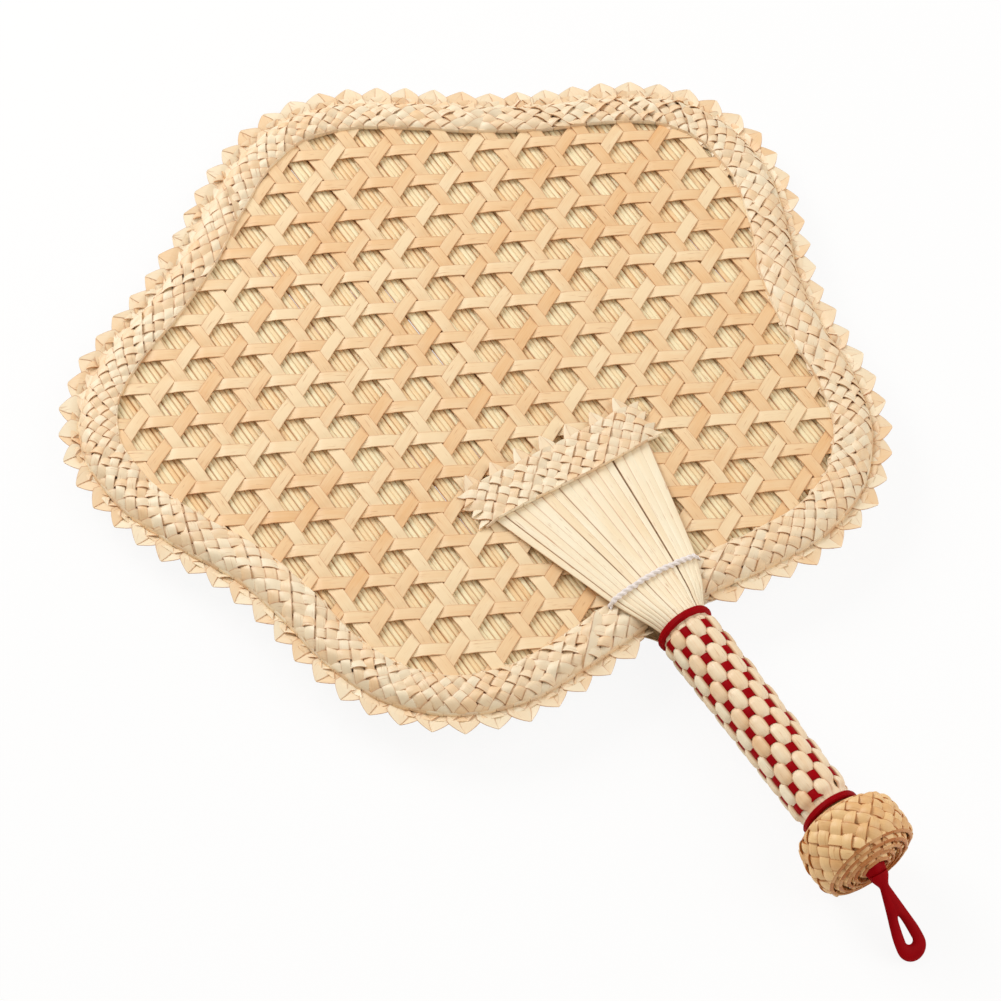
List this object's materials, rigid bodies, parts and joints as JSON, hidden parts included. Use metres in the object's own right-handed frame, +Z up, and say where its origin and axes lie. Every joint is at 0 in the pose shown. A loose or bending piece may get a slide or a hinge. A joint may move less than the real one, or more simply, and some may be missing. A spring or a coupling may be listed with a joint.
{
  "type": "woven straw hand fan",
  "caption": "Hand-woven straw fan with a lobed leaf of crossing strips over stems, a pointed plaited border, a grip woven with red ribbon, a rolled pommel and a hanging loop.",
  "frame": {"origin": "on the table, under the middle of the fan's box as it lies", "axes": "+Z up from the table, +Y along the handle's axis from pommel to leaf tip, +X across the leaf"},
  "size_m": [0.298, 0.4152, 0.0393],
  "materials": {
    "straw": "dry flattened straw, slight sheen",
    "pale_straw": "dry pale straw, satin",
    "stem_straw": "dry stems, matte",
    "tan_straw": "plaited tan straw, matte",
    "red_ribbon": "red satin ribbon",
    "white_thread": "off-white thread"
  },
  "bodies": {
    "fan": {"stem_mat": "stem_straw", "handle_core": "stem_straw", "front_axial_strips": "straw", "front_row_strips": "straw", "front_rising_strips": "straw", "back_axial_strips": "straw", "back_row_strips": "straw", "back_rising_strips": "straw", "front_border": "straw", "back_border": "straw", "front_root_braid": "straw", "back_root_braid": "straw", "back_splay": "pale_straw", "front_binding_thread": "white_thread", "back_binding_thread": "white_thread", "grip_top_ring": "red_ribbon", "grip_end_ring": "red_ribbon", "grip_ribbon": "red_ribbon", "pommel_coil": "tan_straw", "loop_root": "red_ribbon", "front_splay_straw_1": "pale_straw", "front_splay_straw_2": "pale_straw", "front_splay_straw_3": "pale_straw", "front_splay_straw_4": "pale_straw", "front_splay_straw_5": "pale_straw", "front_splay_straw_6": "pale_straw", "front_splay_straw_7": "pale_straw", "front_splay_straw_8": "pale_straw", "front_splay_straw_9": "pale_straw", "front_splay_straw_10": "pale_straw", "front_splay_straw_11": "pale_straw", "front_splay_straw_12": "pale_straw", "front_splay_straw_13": "pale_straw", "front_splay_straw_14": "pale_straw", "front_splay_straw_15": "pale_straw", "front_splay_straw_16": "pale_straw", "front_splay_straw_17": "pale_straw", "grip_stake_1": "straw", "grip_stake_2": "straw", "grip_stake_3": "straw", "grip_stake_4": "straw", "grip_stake_5": "straw", "grip_stake_6": "straw", "grip_stake_7": "straw", "grip_stake_8": "straw", "grip_stake_9": "straw", "grip_stake_10": "straw", "grip_stake_11": "straw", "grip_stake_12": "straw", "grip_stake_13": "straw", "grip_stake_14": "straw", "grip_stake_15": "straw"},
    "loop": {"hanging_loop": "red_ribbon"}
  },
  "joints": [
    {"name": "loop_swing", "type": "hinge", "parent": "fan", "child": "loop", "pos_m": [0, -0.18131, 0.02062], "axis": [-1, 0, 0], "range_deg": [0, 110]}
  ]
}
